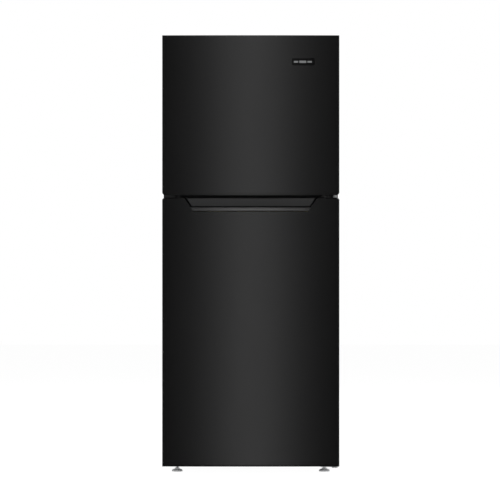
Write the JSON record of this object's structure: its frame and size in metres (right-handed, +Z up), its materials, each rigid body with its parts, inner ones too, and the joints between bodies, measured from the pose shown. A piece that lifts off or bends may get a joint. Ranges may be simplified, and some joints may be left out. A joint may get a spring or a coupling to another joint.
{
  "type": "top freezer refrigerator",
  "caption": "Free-standing top freezer refrigerator in satin black with a pocket handle between its two right-hinged doors, full interior and rear machine bay",
  "frame": {"origin": "bottom centre of the whole object, on the floor", "axes": "+X to the viewer's right as the doors are faced (hinge side), -Y out of the doors, +Z up"},
  "size_m": [0.6, 0.69, 1.485],
  "materials": {
    "cabinet_paint": "textured satin black paint",
    "door_paint": "smooth satin black paint",
    "back_steel": "matte dark grey coated steel",
    "galvanised": "galvanised sheet with soft spangle",
    "zinc": "zinc plated steel",
    "foam": "rigid foam, matte",
    "liner_plastic": "white formed plastic",
    "black_plastic": "black moulded plastic",
    "handle_plastic": "satin black moulded plastic",
    "badge_plastic": "gloss black plate with a plain silver bar",
    "compressor_paint": "gloss black enamel",
    "rubber_black": "soft black rubber",
    "gasket_rubber": "dark grey flexible seal",
    "cream_plastic": "off-white moulded plastic",
    "grey_plastic": "blue grey moulded plastic",
    "foot_plastic": "light grey moulded plastic",
    "copper": "drawn copper tube, slightly dulled",
    "aluminium": "bare aluminium",
    "white_wire": "white coated wire",
    "bulb_glass": "frosted lamp",
    "lens": "milky lens",
    "clear_plastic": "clear moulded plastic",
    "shelf_glass": "clear tempered glass"
  },
  "bodies": {
    "cabinet": {"cabinet_wrapper": "cabinet_paint", "back_panel": "back_steel", "base_pan": "galvanised", "compressor_deck": "galvanised", "cabinet_foam": "foam", "freezer_liner": "liner_plastic", "fridge_liner": "liner_plastic", "mullion_rail": "galvanised", "top_hinge_bracket": "zinc", "top_hinge_cover": "black_plastic", "middle_hinge_bracket": "zinc", "bottom_hinge_bracket": "zinc", "hinge_screws": "zinc", "hinge_hole_plugs": "black_plastic", "foot_brackets": "galvanised", "compressor": "compressor_paint", "compressor_grommets": "rubber_black", "terminal_cover": "cream_plastic", "filter_dryer": "copper", "refrigerant_pipes": "copper", "condenser_coil": "copper", "drain_pan": "black_plastic", "drain_tube": "cream_plastic", "evaporator": "aluminium", "evaporator_cover": "liner_plastic", "fan_motor": "galvanised", "control_box": "liner_plastic", "lamp_bulb": "bulb_glass", "lamp_lens": "lens", "switch_housing": "cream_plastic", "freezer_shelf": "white_wire", "shelf_glass": "shelf_glass", "shelf_trims": "liner_plastic", "crisper_cover": "shelf_glass", "cord_gland": "rubber_black"},
    "freezer_door": {"freezer_door_skin": "door_paint", "freezer_door_foam": "foam", "freezer_door_liner": "liner_plastic", "freezer_door_top_cap": "black_plastic", "freezer_door_bottom_cap": "black_plastic", "freezer_door_gasket": "gasket_rubber", "freezer_door_bins": "clear_plastic", "door_badge": "badge_plastic"},
    "fridge_door": {"fridge_door_skin": "door_paint", "fridge_door_foam": "foam", "fridge_door_liner": "liner_plastic", "fridge_door_top_cap": "handle_plastic", "fridge_door_bottom_cap": "black_plastic", "fridge_door_gasket": "gasket_rubber", "fridge_door_bins": "clear_plastic"},
    "fan_blade": {"fan_blade": "cream_plastic"},
    "temperature_dial": {"temperature_dial": "cream_plastic"},
    "freezer_dial": {"freezer_dial": "cream_plastic"},
    "switch_plunger": {"switch_plunger": "cream_plastic"},
    "crisper_drawer": {"crisper_drawer": "clear_plastic"},
    "humidity_slider": {"humidity_slider": "grey_plastic"},
    "left_foot": {"left_foot": "foot_plastic"},
    "right_foot": {"right_foot": "foot_plastic"},
    "left_roller": {"left_roller": "black_plastic"},
    "right_roller": {"right_roller": "black_plastic"}
  },
  "joints": [
    {"name": "freezer_door_hinge", "type": "hinge", "parent": "cabinet", "child": "freezer_door", "pos_m": [0.286, -0.305, 1.2], "axis": [0, 0, 1], "range_deg": [0, 120]},
    {"name": "fridge_door_hinge", "type": "hinge", "parent": "cabinet", "child": "fridge_door", "pos_m": [0.286, -0.305, 0.48], "axis": [0, 0, 1], "range_deg": [0, 120]},
    {"name": "crisper_slide", "type": "slide", "parent": "cabinet", "child": "crisper_drawer", "axis": [0, -1, 0], "range_m": [0, 0.165]},
    {"name": "humidity_slide", "type": "slide", "parent": "crisper_drawer", "child": "humidity_slider", "axis": [1, 0, 0], "range_m": [0, 0.05]},
    {"name": "switch_press", "type": "slide", "parent": "cabinet", "child": "switch_plunger", "axis": [0, -1, 0], "range_m": [0, 0.006]},
    {"name": "temperature_turn", "type": "hinge", "parent": "cabinet", "child": "temperature_dial", "pos_m": [-0.062, -0.24, 0.8885], "axis": [0, -1, 0], "range_deg": [0, 270]},
    {"name": "freezer_dial_turn", "type": "hinge", "parent": "cabinet", "child": "freezer_dial", "pos_m": [0.172, 0.21, 1.0215], "axis": [0, -1, 0], "range_deg": [0, 270]},
    {"name": "fan_spin", "type": "hinge", "parent": "cabinet", "child": "fan_blade", "pos_m": [0, 0.237, 1.343], "axis": [0, 1, 0], "continuous": true},
    {"name": "left_foot_turn", "type": "hinge", "parent": "cabinet", "child": "left_foot", "pos_m": [-0.252, -0.228, 0.03], "axis": [0, 0, 1], "continuous": true},
    {"name": "right_foot_turn", "type": "hinge", "parent": "cabinet", "child": "right_foot", "pos_m": [0.252, -0.228, 0.03], "axis": [0, 0, 1], "continuous": true},
    {"name": "left_roller_spin", "type": "hinge", "parent": "cabinet", "child": "left_roller", "pos_m": [-0.237, 0.3, 0.015], "axis": [1, 0, 0], "continuous": true},
    {"name": "right_roller_spin", "type": "hinge", "parent": "cabinet", "child": "right_roller", "pos_m": [0.237, 0.3, 0.015], "axis": [1, 0, 0], "continuous": true}
  ],
  "couplings": [
    {"joint": "crisper_slide", "follows": "fridge_door_hinge", "m_per_rad": 0.078},
    {"joint": "switch_press", "follows": "fridge_door_hinge", "m_per_rad": 0.0028}
  ]
}
